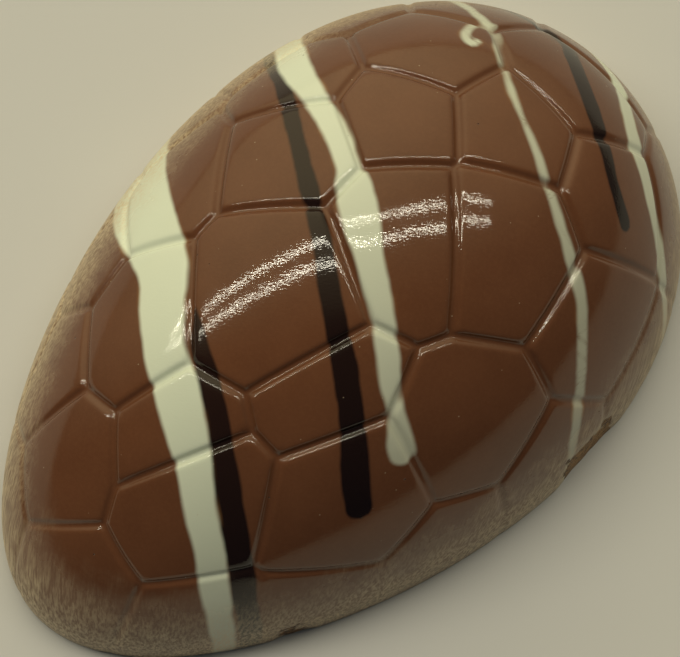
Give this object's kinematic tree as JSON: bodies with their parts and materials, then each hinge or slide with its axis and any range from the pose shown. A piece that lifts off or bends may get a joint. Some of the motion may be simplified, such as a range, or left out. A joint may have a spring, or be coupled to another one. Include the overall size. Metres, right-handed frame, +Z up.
{
  "type": "chocolate egg half",
  "caption": "Half of a moulded milk chocolate egg with a crackle relief and white and dark stripes, lying on its cut rim.",
  "frame": {"origin": "on the flat cut face, under the middle of the length and the width", "axes": "+X towards the blunt end, +Z up out of the cut face, -Y towards the side that the picture looks at"},
  "size_m": [0.1499, 0.0992, 0.0496],
  "materials": {
    "milk_chocolate": "glossy moulded milk chocolate with white and dark chocolate stripes, matt and scuffed near the rim"
  },
  "bodies": {
    "root": {"egg_half": "milk_chocolate"}
  },
  "joints": []
}
